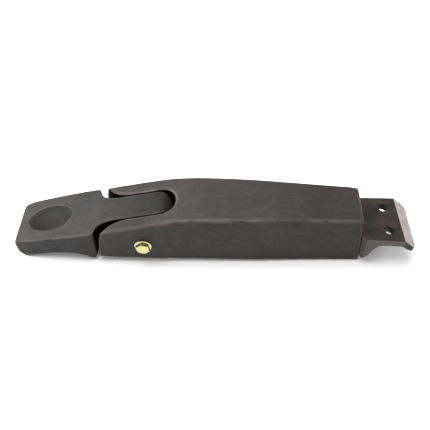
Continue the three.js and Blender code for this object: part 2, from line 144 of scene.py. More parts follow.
class Bench:
    """Hand tools that add, shape and finish one mesh at a time."""

    @staticmethod
    def only(piece: bpy.types.Object) -> None:
        """Selects one object and makes it active.

        Args:
            piece: The object.
        """
        bpy.ops.object.select_all(action="DESELECT")
        piece.select_set(True)
        bpy.context.view_layer.objects.active = piece

    @staticmethod
    def settle(name: str) -> bpy.types.Object:
        """Names the new primitive and puts its place and size into its mesh.

        Args:
            name: Name of the new object.

        Returns:
            The new object, at the origin and unturned.
        """
        piece = bpy.context.active_object
        piece.name = name
        bpy.ops.object.transform_apply(location=True, rotation=True, scale=True)
        return piece

    @classmethod
    def block(cls, name: str, low: Sequence[float], high: Sequence[float]) -> bpy.types.Object:
        """Adds a box between two corners.

        Args:
            name: Name of the new object.
            low: Lowest corner in millimetres.
            high: Highest corner in millimetres.

        Returns:
            The box, with its place in its mesh.
        """
        bpy.ops.object.select_all(action="DESELECT")
        a, b = Vector(low) * MM, Vector(high) * MM
        bpy.ops.mesh.primitive_cube_add(size=1, location=(a + b) / 2, scale=b - a)
        return cls.settle(name)

    @classmethod
    def rod(cls, name: str, centre: Sequence[float], radius: float, length: float,
            along: str = "Y", sides: int = 64) -> bpy.types.Object:
        """Adds a cylinder along Y or Z.

        Args:
            name: Name of the new object.
            centre: Middle of the cylinder in millimetres.
            radius: Radius in millimetres.
            length: Length in millimetres.
            along: Axis letter, Y or Z.
            sides: Number of sides.

        Returns:
            The cylinder, with its place in its mesh.
        """
        bpy.ops.object.select_all(action="DESELECT")
        turn = (math.pi / 2, 0, 0) if along == "Y" else (0, 0, 0)
        bpy.ops.mesh.primitive_cylinder_add(vertices=sides, radius=radius * MM, depth=length * MM,
                                            location=Vector(centre) * MM, rotation=turn)
        return cls.settle(name)

    @classmethod
    def edit(cls, piece: bpy.types.Object) -> None:
        """Opens a piece in edit mode."""
        cls.only(piece)
        bpy.ops.object.mode_set(mode="EDIT")

    @staticmethod
    def done() -> None:
        """Leaves edit mode."""
        bpy.ops.object.mode_set(mode="OBJECT")

    @staticmethod
    def pick(piece: bpy.types.Object, kind: Element, test: Callable[[Vector], bool]) -> None:
        """Selects the elements whose middle passes a test.

        Args:
            piece: Object in edit mode.
            kind: Kind of element.
            test: Takes the middle of an element in millimetres.
        """
        modes = [kind is Element.VERTEX, kind is Element.EDGE, kind is Element.FACE]
        bpy.context.tool_settings.mesh_select_mode = modes
        bpy.ops.mesh.select_all(action="DESELECT")
        mesh = bmesh.from_edit_mesh(piece.data)
        for element in getattr(mesh, kind.value):
            corners = [element] if kind is Element.VERTEX else element.verts
            middle = sum((v.co for v in corners), Vector()) / len(corners)
            if test(middle / MM):
                element.select_set(True)
        bmesh.update_edit_mesh(piece.data)

    @staticmethod
    def slice_along_x(stations: Sequence[float]) -> None:
        """Cuts new edge rings across the piece in edit mode.

        Args:
            stations: Places of the rings along X in millimetres.
        """
        for x in stations:
            bpy.ops.mesh.select_all(action="SELECT")
            bpy.ops.mesh.bisect(plane_co=(x * MM, 0, 0), plane_no=(1, 0, 0), threshold=NEAR)

    @classmethod
    def modify(cls, piece: bpy.types.Object, kind: str, **settings: object) -> None:
        """Adds a modifier with its settings and applies it.

        Args:
            piece: The piece.
            kind: Blender's name for the kind of modifier.
            **settings: Values of the modifier, by their names.
        """
        cls.only(piece)
        modifier = piece.modifiers.new(kind.lower(), kind)
        for key, value in settings.items():
            setattr(modifier, key, value)
        bpy.ops.object.modifier_apply(modifier=modifier.name)

    @classmethod
    def combine(cls, piece: bpy.types.Object, other: bpy.types.Object, how: Cut) -> None:
        """Joins or cuts a piece with another, which is then thrown away."""
        cls.modify(piece, "BOOLEAN", operation=how.value, object=other, solver="EXACT")
        bpy.data.objects.remove(other, do_unlink=True)

    @classmethod
    def soften(cls, piece: bpy.types.Object, voxel: float, rounds: int) -> None:
        """Turns a sharp blank into an even moulded skin with rounded edges.

        Args:
            piece: The blank.
            voxel: Grain of the skin in millimetres.
            rounds: Number of smoothing rounds.
        """
        cls.modify(piece, "REMESH", mode="VOXEL", voxel_size=voxel * MM)
        cls.modify(piece, "SMOOTH", factor=0.5, iterations=rounds)

    @classmethod
    def relax(cls, piece: bpy.types.Object, inside: Callable[[Vector], bool], rounds: int) -> None:
        """Rounds the edges of one region further.

        Args:
            piece: The piece, already with an even skin.
            inside: Takes a point in millimetres and tells whether it lies in the region.
            rounds: Number of smoothing rounds.
        """
        group = piece.vertex_groups.new(name="region")
        chosen = [v.index for v in piece.data.vertices if inside(v.co / MM)]
        group.add(chosen, 1.0, "REPLACE")
        cls.modify(piece, "SMOOTH", factor=0.5, iterations=rounds, vertex_group="region")
        piece.vertex_groups.clear()

    @staticmethod
    def mark_wear_and_highlight(piece: bpy.types.Object, sharpest: float = 1.2) -> None:
        """Stores how strongly each point lies on an outward edge, for the rubbed edges and painted highlight
        in the finishes.

        Args:
            piece: A piece with an even skin.
            sharpest: Edge radius in millimetres that counts as fully rubbed and highlit.
        """
        mesh = piece.data
        count = len(mesh.vertices)
        places = np.empty(count * 3)
        mesh.vertices.foreach_get("co", places)
        places = places.reshape(-1, 3) / MM
        normals = np.empty(count * 3)
        mesh.vertices.foreach_get("normal", normals)
        normals = normals.reshape(-1, 3)
        pairs = np.empty(len(mesh.edges) * 2, dtype=np.int32)
        mesh.edges.foreach_get("vertices", pairs)
        pairs = pairs.reshape(-1, 2)
        first, second = np.concatenate([pairs, pairs[:, ::-1]]).T
        step = places[second] - places[first]
        bend = -2 * np.einsum("ij,ij->i", step, normals[first]) / np.maximum((step ** 2).sum(1), 0.01)
        links = np.maximum(np.bincount(first, minlength=count), 1)
        worn_and_highlit = np.bincount(first, bend, count) / links
        for _ in range(3):
            worn_and_highlit = 0.5 * worn_and_highlit + 0.5 * np.bincount(first, worn_and_highlit[second], count) / links
        worn_and_highlit = np.clip(worn_and_highlit * 2 * sharpest, 0, 1)
        # Stored for the rubbed edges and for the painted highlight along the creases.
        attribute = mesh.attributes.new("wear_and_highlight", "FLOAT", "POINT")
        attribute.data.foreach_set("value", worn_and_highlit.astype(np.float32))

    @staticmethod
    def mark_painted_shade(piece: bpy.types.Object, amount: Callable[[Vector, Vector], float]) -> None:
        """Stores how much painted shade each point gets, such as in a narrow gap.

        Args:
            piece: The piece.
            amount: Takes a point in millimetres and its normal and gives the painted shade from 0 to 1.
        """
        mesh = piece.data
        marks = [float(amount(v.co / MM, v.normal)) for v in mesh.vertices]
        # Painted shade: the finishes darken these points towards black.
        mesh.attributes.new("painted_shade", "FLOAT", "POINT").data.foreach_set("value", marks)

    @classmethod
    def shade(cls, piece: bpy.types.Object, degrees: float = 35) -> None:
        """Shades a piece smooth, with edges sharper than an angle left crisp."""
        cls.only(piece)
        bpy.ops.object.shade_smooth_by_angle(angle=math.radians(degrees))


@dataclass
class RingBody:
    """Long solid shaped from a box by cutting rings and moving each ring's corners.

    Attributes:
        name: Name of the object.
        stations: Ring positions along X in millimetres, both ends included.
        half: Half width over X.
        top: Height of the top over X.
        bottom: Height of the underside over X.
        top_round: Radius of the long top edges.
        low_round: Radius of the long bottom edges.
    """

    name: str
    stations: Sequence[float]
    half: Callable[[float], float]
    top: Callable[[float], float]
    bottom: Callable[[float], float]
    top_round: float = 0.0
    low_round: float = 0.0

    def build(self) -> bpy.types.Object:
        """Makes the solid.

        Returns:
            The shaped solid.
        """
        first, last = self.stations[0], self.stations[-1]
        piece = Bench.block(self.name, (first, -1, 0), (last, 1, 1))
        Bench.edit(piece)
        Bench.slice_along_x(self.stations[1:-1])
        for x in self.stations:
            self._shape_ring(piece, x)
        self._round_edges(piece, self.top, self.top_round)
        self._round_edges(piece, self.bottom, self.low_round)
        Bench.done()
        return piece

    def _round_edges(self, piece: bpy.types.Object, height: Callable[[float], float],
                     radius: float) -> None:
        """Rounds the two long edges that run at a height.

        Args:
            piece: The solid in edit mode.
            height: Height of the edges over X.
            radius: Radius of the edges, or 0 to leave them sharp.
        """
        if radius <= 0:
            return
        close = 0.5
        Bench.pick(piece, Element.EDGE,
                   lambda p: abs(abs(p.y) - self.half(p.x)) < close and abs(p.z - height(p.x)) < close)
        bpy.ops.mesh.bevel(offset=radius * MM, segments=5, clamp_overlap=False)

    def _shape_ring(self, piece: bpy.types.Object, x: float) -> None:
        """Sets one ring's width, top and underside.

        Args:
            piece: The solid in edit mode, one millimetre high so far.
            x: Station of the ring in millimetres.
        """
        Bench.pick(piece, Element.VERTEX, lambda p: abs(p.x - x) < 1e-3)
        bpy.ops.transform.resize(value=(1, self.half(x), 1), center_override=(x * MM, 0, 0))
        Bench.pick(piece, Element.VERTEX, lambda p: abs(p.x - x) < 1e-3 and abs(p.z - 1) < 1e-3)
        bpy.ops.transform.translate(value=(0, 0, (self.top(x) - 1) * MM))
        Bench.pick(piece, Element.VERTEX, lambda p: abs(p.x - x) < 1e-3 and abs(p.z) < 1e-3)
        bpy.ops.transform.translate(value=(0, 0, self.bottom(x) * MM))


# ------------------------------------------------------------------ finishes
class NodeBoard:
    """Small helper that lays out one material's shader nodes."""

    def __init__(self, name: str) -> None:
        """Starts a material with a shader and object coordinates.

        Args:
            name: Name of the material.
        """
        self.material = bpy.data.materials.new(name)
        self.material.use_nodes = True
        self.tree = self.material.node_tree
        self.shader = self.tree.nodes["Principled BSDF"]
        self.place = self.tree.nodes.new("ShaderNodeTexCoord").outputs["Object"]

    def link(self, source: bpy.types.NodeSocket, target: bpy.types.NodeSocket) -> None:
        """Joins two sockets."""
        self.tree.links.new(source, target)

    def mapped(self, stretch: Sequence[float], shift: Sequence[float]) -> bpy.types.NodeSocket:
        """Stretches and shifts the object coordinates.

        Args:
            stretch: Squeeze of the pattern along each axis.
            shift: Offset that picks another part of the pattern.

        Returns:
            Socket with the coordinates in units of a millimetre.
        """
        node = self.tree.nodes.new("ShaderNodeMapping")
        node.inputs["Scale"].default_value = [s / MM for s in stretch]
        node.inputs["Location"].default_value = shift
        self.link(self.place, node.inputs["Vector"])
        return node.outputs["Vector"]

    def noise(self, size: float, stretch: Sequence[float] = (1, 1, 1), detail: float = 4,
              rough: float = 0.55, shift: Sequence[float] = (0, 0, 0)) -> bpy.types.NodeSocket:
        """Noise with a grain of so many millimetres.

        Args:
            size: Typical size of a grain in millimetres.
            stretch: Squeeze of the pattern along each axis.
            detail: Octaves of finer noise.
            rough: Strength of the finer octaves.
            shift: Offset that picks another part of the pattern.

        Returns:
            Socket with values around a half.
        """
        node = self.tree.nodes.new("ShaderNodeTexNoise")
        node.inputs["Scale"].default_value = 1 / size
        node.inputs["Detail"].default_value = detail
        node.inputs["Roughness"].default_value = rough
        self.link(self.mapped(stretch, shift), node.inputs["Vector"])
        return node.outputs["Fac"]

    def window(self, source: bpy.types.NodeSocket, low: float, high: float,
               out_low: float = 0, out_high: float = 1) -> bpy.types.NodeSocket:
        """Stretches a part of a value's range over a new range, and clamps it.

        Args:
            source: Socket with the value.
            low: Value that becomes out_low.
            high: Value that becomes out_high.
            out_low: One end of the new range.
            out_high: Other end of the new range.

        Returns:
            Socket with the stretched value.
        """
        node = self.tree.nodes.new("ShaderNodeMapRange")
        node.clamp = True
        limits = {"From Min": low, "From Max": high, "To Min": out_low, "To Max": out_high}
        for key, value in limits.items():
            node.inputs[key].default_value = value
        self.link(source, node.inputs["Value"])
        return node.outputs["Result"]

    def blend(self, factor: bpy.types.NodeSocket, first: object, second: object) -> bpy.types.NodeSocket:
        """Mixes two colours.

        Args:
            factor: Socket with the share of the second colour.
            first: Colour at 0, a socket or a plain colour.
            second: Colour at 1, a socket or a plain colour.

        Returns:
            Socket with the mixed colour.
        """
        node = self.tree.nodes.new("ShaderNodeMix")
        node.data_type = "RGBA"
        self.link(factor, node.inputs["Factor"])
        for side, value in (("A", first), ("B", second)):
            socket = next(s for s in node.inputs if s.name == side and s.type == "RGBA")
            if isinstance(value, bpy.types.NodeSocket):
                self.link(value, socket)
            else:
                socket.default_value = (*value, 1)
        return next(s for s in node.outputs if s.type == "RGBA")

    def math(self, how: Sum, first: object, second: object) -> bpy.types.NodeSocket:
        """Adds or multiplies two values.

        Args:
            how: What to do with them.
            first: A socket or a number.
            second: A socket or a number.

        Returns:
            Socket with the result.
        """
        node = self.tree.nodes.new("ShaderNodeMath")
        node.operation = how.value
        for socket, value in zip(node.inputs, (first, second)):
            if isinstance(value, bpy.types.NodeSocket):
                self.link(value, socket)
            else:
                socket.default_value = value
        return node.outputs["Value"]

    def stored(self, name: str, low: float, high: float, out_low: float = 0,
               out_high: float = 1) -> bpy.types.NodeSocket:
        """Reads a value stored on the mesh, which is 0 where the mesh has none.

        Args:
            name: Name of the value, either the rubbed edges with their painted highlight or the painted
                shade.
            low: Value that becomes out_low.
            high: Value that becomes out_high.
            out_low: One end of the new range.
            out_high: Other end of the new range.

        Returns:
            Socket with the stretched value.
        """
        node = self.tree.nodes.new("ShaderNodeAttribute")
        node.attribute_name = name
        return self.window(node.outputs["Fac"], low, high, out_low, out_high)

    def bump(self, height: bpy.types.NodeSocket, depth: float,
             under: bpy.types.NodeSocket | None = None) -> bpy.types.NodeSocket:
        """Adds relief.

        Args:
            height: Socket with the height of the pattern.
            depth: Depth of the relief in millimetres.
            under: Relief that this one lies on, if any.

        Returns:
            Socket with the bent normal.
        """
        node = self.tree.nodes.new("ShaderNodeBump")
        node.inputs["Distance"].default_value = depth * MM
        self.link(height, node.inputs["Height"])
        if under is not None:
            self.link(under, node.inputs["Normal"])
        return node.outputs["Normal"]


@dataclass(frozen=True)
class MouldedNylon:
    """Charcoal moulded nylon with a fine grain, faint mottling, scuffs, rubbed edges that also carry a
    painted highlight, and painted shade.

    Attributes:
        name: Name of the material.
        base: Main colour.
        warm: Colour of the warmer, lighter patches.
        worn_and_highlit: Colour of scuffs, and of rubbed edges where it is also a painted highlight.
        wear_and_highlight_from: Bend of an edge from which it is rubbed and given a painted highlight.
    """

    name: str
    base: tuple[float, float, float]
    warm: tuple[float, float, float]
    worn_and_highlit: tuple[float, float, float]
    wear_and_highlight_from: float = 0.1

    def make(self) -> bpy.types.Material:
        """Builds the material.

        Returns:
            The material.
        """
        board = NodeBoard(self.name)
        patches = board.window(board.noise(22, (0.6, 1, 1), 3), 0.38, 0.66)
        colour = board.blend(patches, self.base, self.warm)
        dust = board.window(board.noise(2.6, (0.5, 1, 1), 6, 0.7, (3, 8, 1)), 0.5, 0.76, 0, 0.25)
        colour = board.blend(dust, colour, self.worn_and_highlit)
        streaks = board.window(board.noise(1.1, (0.07, 1, 1), 3, 0.6, (9, 2, 4)), 0.66, 0.76, 0, 0.5)
        where = board.window(board.noise(14, (1, 1, 1), 2, 0.5, (5, 5, 5)), 0.48, 0.62)
        colour = board.blend(board.math(Sum.TIMES, streaks, where), colour, self.worn_and_highlit)
        # Rubbed edges, lightened partly as real rubbing and partly as a painted highlight along the creases.
        patchy = board.window(board.noise(7, (0.5, 1, 1), 4, 0.65, (8, 1, 6)), 0.36, 0.62, 0.1, 0.85)
        edges = board.stored("wear_and_highlight", self.wear_and_highlight_from, self.wear_and_highlight_from + 0.6)
        colour = board.blend(board.math(Sum.TIMES, edges, patchy), colour, self.worn_and_highlit)
        # Painted shade: darkens towards black in the slot, the gaps, the thumb hollow, on the sides and
        # towards the nose.
        colour = board.blend(board.stored("painted_shade", 0, 1, 0, 0.9), colour, (0.001, 0.001, 0.001))
        board.link(colour, board.shader.inputs["Base Color"])
        gloss = board.window(board.noise(5, (0.7, 1, 1), 4, 0.6, (1, 7, 2)), 0.3, 0.7, 0.52, 0.68)
        board.link(gloss, board.shader.inputs["Roughness"])
        # Painted shade also dims the reflections.
        board.link(board.stored("painted_shade", 0, 1, 0.25, 0.02), board.shader.inputs["Specular IOR Level"])
        grain = board.bump(board.noise(0.35, (1, 1, 1), 3, 0.6), 0.03)
        waves = board.bump(board.noise(9, (0.8, 1, 1), 2, 0.5, (2, 2, 6)), 0.22, grain)
        board.link(waves, board.shader.inputs["Normal"])
        return board.material


@dataclass(frozen=True)
class BlackenedSteel:
    """Black oxidised steel with brownish patches, pits and lighter scratches.

    Attributes:
        name: Name of the material.
        base: Main colour.
        brown: Colour of the brownish patches.
        rubbed: Colour of the scratches.
        rough: Middle of the roughness.
    """

    name: str
    base: tuple[float, float, float]
    brown: tuple[float, float, float]
    rubbed: tuple[float, float, float]
    rough: float = 0.5

    def make(self) -> bpy.types.Material:
        """Builds the material.

        Returns:
            The material.
        """
        board = NodeBoard(self.name)
        patches = board.window(board.noise(6, (1, 1, 1), 5, 0.65), 0.4, 0.68)
        colour = board.blend(patches, self.base, self.brown)
        scratches = board.window(board.noise(0.8, (0.12, 1, 1), 4, 0.65, (4, 1, 1)), 0.6, 0.74, 0, 0.4)
        colour = board.blend(scratches, colour, self.rubbed)
        board.link(colour, board.shader.inputs["Base Color"])
        board.shader.inputs["Metallic"].default_value = 0.2
        board.shader.inputs["Specular IOR Level"].default_value = 0.28
        cloud = board.noise(2.5, (1, 1, 1), 4, 0.6, (7, 1, 1))
        gloss = board.window(cloud, 0.3, 0.7, self.rough - 0.1, self.rough + 0.12)
        board.link(gloss, board.shader.inputs["Roughness"])
        board.link(board.bump(board.noise(0.7, (1, 1, 1), 5, 0.65), 0.05), board.shader.inputs["Normal"])
        return board.material


@dataclass(frozen=True)
class GroundSteel:
    """Bare steel with the fine parallel lines of a grinding wheel and a few stains.

    Attributes:
        name: Name of the material.
        light: Colour of the clean metal.
        dark: Colour of the lines and stains.
        lines: Squeeze of the lines along each axis.
        metallic: Share of bare metal.
        rough: Middle of the roughness.
    """

    name: str
    light: tuple[float, float, float]
    dark: tuple[float, float, float]
    lines: tuple[float, float, float] = (1, 0.08, 1)
    metallic: float = 0.6
    rough: float = 0.42

    def make(self) -> bpy.types.Material:
        """Builds the material.

        Returns:
            The material.
        """
        board = NodeBoard(self.name)
        lines = board.noise(0.35, self.lines, 4, 0.6)
        stains = board.window(board.noise(3.5, (1, 0.6, 1), 4, 0.6, (2, 9, 1)), 0.42, 0.68, 0, 0.6)
        mixed = board.math(Sum.PLUS, board.math(Sum.TIMES, lines, 0.6), board.math(Sum.TIMES, stains, 0.4))
        shade = board.window(mixed, 0.2, 0.62)
        board.link(board.blend(shade, self.light, self.dark), board.shader.inputs["Base Color"])
        board.shader.inputs["Metallic"].default_value = self.metallic
        gloss = board.window(lines, 0.3, 0.7, self.rough - 0.1, self.rough + 0.1)
        board.link(gloss, board.shader.inputs["Roughness"])
        board.link(board.bump(lines, 0.015), board.shader.inputs["Normal"])
        return board.material


@dataclass(frozen=True)
class PlatedMetal:
    """Plated or turned metal with slight cloudiness and tiny marks.

    Attributes:
        name: Name of the material.
        light: Main colour.
        dark: Colour of the clouds.
        rough: Middle of the roughness.
    """

    name: str
    light: tuple[float, float, float]
    dark: tuple[float, float, float]
    rough: float = 0.28

    def make(self) -> bpy.types.Material:
        """Builds the material.

        Returns:
            The material.
        """
        board = NodeBoard(self.name)
        clouds = board.window(board.noise(1.6, (1, 1, 1), 4, 0.6), 0.38, 0.66)
        board.link(board.blend(clouds, self.light, self.dark), board.shader.inputs["Base Color"])
        board.shader.inputs["Metallic"].default_value = 1
        marks = board.noise(0.8, (1, 1, 1), 4, 0.6, (3, 3, 3))
        gloss = board.window(marks, 0.3, 0.7, self.rough - 0.08, self.rough + 0.12)
        board.link(gloss, board.shader.inputs["Roughness"])
        board.link(board.bump(board.noise(0.3, (1, 1, 1), 3), 0.008), board.shader.inputs["Normal"])
        return board.material


@dataclass(frozen=True)
class NaturalNylon:
    """Uncoloured nylon, faintly mottled.

    Attributes:
        name: Name of the material.
        light: Main colour.
        dark: Colour of the clouds.
    """

    name: str
    light: tuple[float, float, float]
    dark: tuple[float, float, float]

    def make(self) -> bpy.types.Material:
        """Builds the material.

        Returns:
            The material.
        """
        board = NodeBoard(self.name)
        clouds = board.window(board.noise(4, (1, 1, 1), 4, 0.6), 0.35, 0.68)
        board.link(board.blend(clouds, self.light, self.dark), board.shader.inputs["Base Color"])
        gloss = board.window(board.noise(1, (1, 1, 1), 3), 0.3, 0.7, 0.42, 0.6)
        board.link(gloss, board.shader.inputs["Roughness"])
        board.link(board.bump(board.noise(0.5, (1, 1, 1), 3), 0.02), board.shader.inputs["Normal"])
        return board.material


@dataclass
class Finishes:
    """The handle's materials, each made once.

    Attributes:
        grip: Nylon of the grip and its cover.
        lever: Nylon of the lever.
        black: Black steel of the nose.
        edge: Rubbed steel on the nose's sides.
        bevel: Ground steel of the nose's bevel.
        zinc: Yellow zinc of the pivot bolt and nut.
        steel: Bright steel of screws and pins.
        nylon: Nylon of rails and washers.
        brass: Brass of the shoe.
    """

    grip: bpy.types.Material = field(init=False)
    lever: bpy.types.Material = field(init=False)
    black: bpy.types.Material = field(init=False)
    edge: bpy.types.Material = field(init=False)
    bevel: bpy.types.Material = field(init=False)
    zinc: bpy.types.Material = field(init=False)
    steel: bpy.types.Material = field(init=False)
    nylon: bpy.types.Material = field(init=False)
    brass: bpy.types.Material = field(init=False)

    def __post_init__(self) -> None:
        """Makes the materials."""
        self.grip = MouldedNylon("grip_nylon", (0.018, 0.0149, 0.0149), (0.0275, 0.0222, 0.0203),
                                 (0.075, 0.066, 0.062)).make()
        self.lever = MouldedNylon("lever_nylon", (0.012, 0.0112, 0.0111), (0.0185, 0.0165, 0.0153),
                                  (0.05, 0.045, 0.042), 0.3).make()
        self.black = BlackenedSteel("black_oxide", (0.01, 0.0065, 0.0065), (0.03, 0.0175, 0.016),
                                    (0.06, 0.052, 0.05)).make()
        self.edge = BlackenedSteel("rubbed_oxide", (0.034, 0.03, 0.031), (0.05, 0.043, 0.043),
                                   (0.1, 0.09, 0.088), 0.42).make()
        self.bevel = GroundSteel("ground_bevel", (0.35, 0.31, 0.305), (0.13, 0.112, 0.108)).make()
        self.zinc = PlatedMetal("yellow_zinc", (0.44, 0.41, 0.215), (0.36, 0.32, 0.14), 0.24).make()
        self.steel = PlatedMetal("bright_steel", (0.62, 0.62, 0.63), (0.45, 0.45, 0.46), 0.34).make()
        self.nylon = NaturalNylon("natural_nylon", (0.72, 0.7, 0.64), (0.6, 0.57, 0.5)).make()
        self.brass = PlatedMetal("shoe_brass", (0.66, 0.5, 0.23), (0.5, 0.36, 0.14), 0.36).make()


def ramp(value: float, low: float, high: float) -> float:
    """Rises from 0 at low to 1 at high, and stays level beyond them."""
    return min(max((value - low) / (high - low), 0), 1)


def dress(piece: bpy.types.Object, body: Body, slot: str, *nodes: str) -> None:
    """Puts a finished piece in the frame in place of its CAD nodes.

    Args:
        piece: The finished piece.
        body: Body that it rides on.
        slot: Material slot of the record that the piece's finish belongs to; not used.
        *nodes: CAD nodes that it stands for.
    """
    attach(piece, body.value)
    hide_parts(*nodes)
    log.info("%s rides on %s, %d faces", piece.name, body.value, len(piece.data.polygons))


# ------------------------------------------------------------------ grip
TOP_SLOPE = 0.28
PIVOT_Z = 12.3


def slope_top(x: float) -> float:
    """Height of the sloping top that the grip's tail and the lever share, all in millimetres."""
    return 27.4 + TOP_SLOPE * x


@dataclass
class Grip:
    """Moulded grip: a tapering case, forked at the tail and hollow below.

    Attributes:
        half: Half width from tail to nose.
        roof: Height of the top from tail to nose.
        wall: Thickness of the walls.
        slot_half: Half width of the slot between the fork arms.
        slot_end: Front end of the slot.
        arm_end: Top of the arms' tail ends.
        arm_side: Outer side of the arms at the pivot.
        arm_lean: How far the arms' ends lean out per unit of depth.
        mouth: Top of the nose end face.
        mouth_lean: How far the nose end leans out at the bottom.
        flare_y: Distance of the flare's centre from the middle plane.
        flare_size: Half lengths of the flare's ellipse along X and Y.
        bolt_hole: Radius of the bolt's hole.
        nut_well: Radius of the well for the bolt's nut.
    """

    half: Profile = Profile(((-32, 17.4), (0, 17.5), (24, 16.6), (62, 15.7), (92, 14.1), (130, 12.5)))
    roof: Profile = Profile(((-32, slope_top(-32)), (-16, slope_top(-16)), (0, slope_top(0)),
                             (16, slope_top(16) - 0.1), (34, 33.9), (76, 34.4), (119, 34.1)))
    wall: float = 2.8
    slot_half: float = 8.7
    slot_end: float = 17.2
    arm_end: float = -23.8
    arm_side: float = 17.2
    arm_lean: float = 0.11
    mouth: float = 118.4
    mouth_lean: float = 3.4
    flare_y: float = 20.1
    flare_size: tuple[float, float] = (15.8, 11.4)
    bolt_hole: float = 2.3
    nut_well: float = 4.8

    def blank(self) -> bpy.types.Object:
        """Makes the outer case with leaning ends and rounded long edges.

        Returns:
            The case, solid so far.
        """
        middle = [-16, -8, 0, 8, 13, 17, 20, 23, 27, 31, 36, 44, 54, 66, 78, 90, 104]
        stations = [self.arm_end, *middle, self.mouth]
        case = RingBody("grip_case", stations, self.half.at, self.roof.at, lambda x: 0, 1.7, 0.7).build()
        Bench.edit(case)
        Bench.pick(case, Element.VERTEX, lambda p: p.x > self.mouth - 1 and p.z < 1)
        bpy.ops.transform.translate(value=(self.mouth_lean * MM, 0, 0))
        Bench.pick(case, Element.VERTEX, lambda p: p.x < self.arm_end + 1 and p.z < 1)
        bpy.ops.transform.translate(value=(-self.arm_lean * slope_top(self.arm_end) * MM, 0, 0))
        Bench.done()
        return case

    def slot(self) -> bpy.types.Object:
        """Makes the cutter for the U slot, which flares in an ellipse between the arms' ends.

        Returns:
            The cutter.
        """
        centre = self.slot_end - self.slot_half
        cutter = Bench.block("slot_cutter", (-20, -self.slot_half, -5), (centre, self.slot_half, 60))
        Bench.combine(cutter, Bench.rod("slot_tip", (centre, 0, 27), self.slot_half, 66, "Z", 72), Cut.ADD)
        for side in (-1, 1):
            Bench.combine(cutter, self._flare(side), Cut.ADD)
        return cutter

    def _flare(self, side: int) -> bpy.types.Object:
        """Makes one side of the flare, leaning as the arms' ends do.

        Args:
            side: -1 for the near side, 1 for the far side.

        Returns:
            The cutter of that side.
        """
        lean = math.atan(self.arm_lean)
        hinge = Vector((-8, 0, slope_top(self.arm_end)))
        low, high = sorted((side * -1.0, side * (self.arm_side - 1)))
        flare = Bench.block("flare", (-45, low, -20), (-7.5, high, 60))
        bpy.ops.object.select_all(action="DESELECT")
        bpy.ops.mesh.primitive_cylinder_add(vertices=128, radius=1, depth=120 * MM,
                                            location=(hinge + Vector((0, side * self.flare_y, 0))) * MM,
                                            scale=(*(Vector(self.flare_size) * MM), 1))
        Bench.combine(flare, Bench.settle("flare_ellipse"), Cut.TAKE_AWAY)
        Bench.edit(flare)
        bpy.ops.mesh.select_all(action="SELECT")
        bpy.ops.transform.rotate(value=-lean, orient_axis="Y", center_override=hinge * MM)
        Bench.done()
        return flare

    def hollows(self) -> list[bpy.types.Object]:
        """Makes the cutters for the inside, the openings and the bolt's holes.

        Returns:
            The cutters.
        """
        stations = [20, 27, 36, 50, 66, 82, 98, 115.5]
        inside = RingBody("case_hollow", stations, self._half_inside, self._roof_inside, lambda x: -2).build()
        lever_way = Bench.block("lever_way", (0, -self.slot_half, -2), (24, self.slot_half, 24.5))
        neck_way = Bench.block("neck_way", (110, -9.9, 3.2), (140, 9.9, 20.4))
        bolt_way = Bench.rod("bolt_way", (0, 0, PIVOT_Z), self.bolt_hole, 60)
        nut_well = Bench.rod("nut_well", (0, 21.1, PIVOT_Z), self.nut_well, 17.8)
        return [inside, lever_way, neck_way, bolt_way, nut_well]

    def _half_inside(self, x: float) -> float:
        """Half width of the inside at a station, in millimetres."""
        return self.half.at(x) - self.wall

    def _roof_inside(self, x: float) -> float:
        """Height of the inside at a station, in millimetres."""
        return self.roof.at(x) - self.wall - 0.2

    def build(self, finishes: Finishes) -> bpy.types.Object:
        """Makes and dresses the grip.

        Args:
            finishes: The handle's materials.

        Returns:
            The grip.
        """
        case = self.blank()
        Bench.combine(case, self.slot(), Cut.TAKE_AWAY)
        Bench.soften(case, 0.55, 5)
        Bench.relax(case, self._is_slot_rim, 22)
        Bench.relax(case, self._is_arm_end, 5)
        Bench.relax(case, self._is_near_arm_edge, 34)
        Bench.relax(case, self._is_mouth_edge, 30)
        for cutter in self.hollows():
            Bench.combine(case, cutter, Cut.TAKE_AWAY)
        # Rubbed edges with a painted highlight, then painted shade in the slot, on the sides, the arms and
        # towards the nose.
        Bench.mark_wear_and_highlight(case)
        Bench.mark_painted_shade(case, self._painted_shade)
        Bench.shade(case)
        case.data.materials.append(finishes.grip)
        dress(case, Body.GRIP, "grip_plastic", "grip_shell")
        return case

    def _painted_shade(self, p: Vector, normal: Vector) -> float:
        """Painted shade in the slot and the flare, with lighter painted shade on the sides, on the arms'
        tops, most on the near arm, and on tops towards the nose.

        Args:
            p: Point in millimetres.
            normal: Outward direction at the point.

        Returns:
            Painted shade from 0 to 1.
        """
        # Full painted shade on the walls of the slot and the flare.
        if normal.z < 0.45 and 1 < p.z and p.x < 19 and abs(p.y) < 16 and normal.y * p.y < 4:
            return 1.0
        # Lighter painted shade on the sides, on tops towards the nose, and on the arms' tops, more on the
        # near arm than the far one.
        side = ramp(abs(normal.y), 0.5, 0.9)
        nose = ramp(p.x, 55, 100) * max(normal.z, 0)
        arm = ramp(-p.x, -14, 2) * max(normal.z, 0)
        return max(0.26 * side, 0.22 * nose, (0.3 if p.y < 0 else 0.12) * arm)

    def _is_slot_rim(self, p: Vector) -> bool:
        """Whether a point lies near the slot's upper rim."""
        return p.x < 21 and p.z > slope_top(p.x) - 3.2 and abs(p.y) < self.half.at(p.x) - 3.4

    def _is_arm_end(self, p: Vector) -> bool:
        """Whether a point lies near the upper edge of an arm's tail end."""
        return p.x < -19 and p.z > slope_top(p.x) - 4.5

    def _is_near_arm_edge(self, p: Vector) -> bool:
        """Whether a point lies near the near arm's outer upper edge."""
        return p.y < 4 - self.half.at(p.x) and p.x < 20 and p.z > slope_top(p.x) - 5

    def _is_mouth_edge(self, p: Vector) -> bool:
        """Whether a point lies near the upper edge of the nose end."""
        return p.x > self.mouth - 4 and p.z > 26


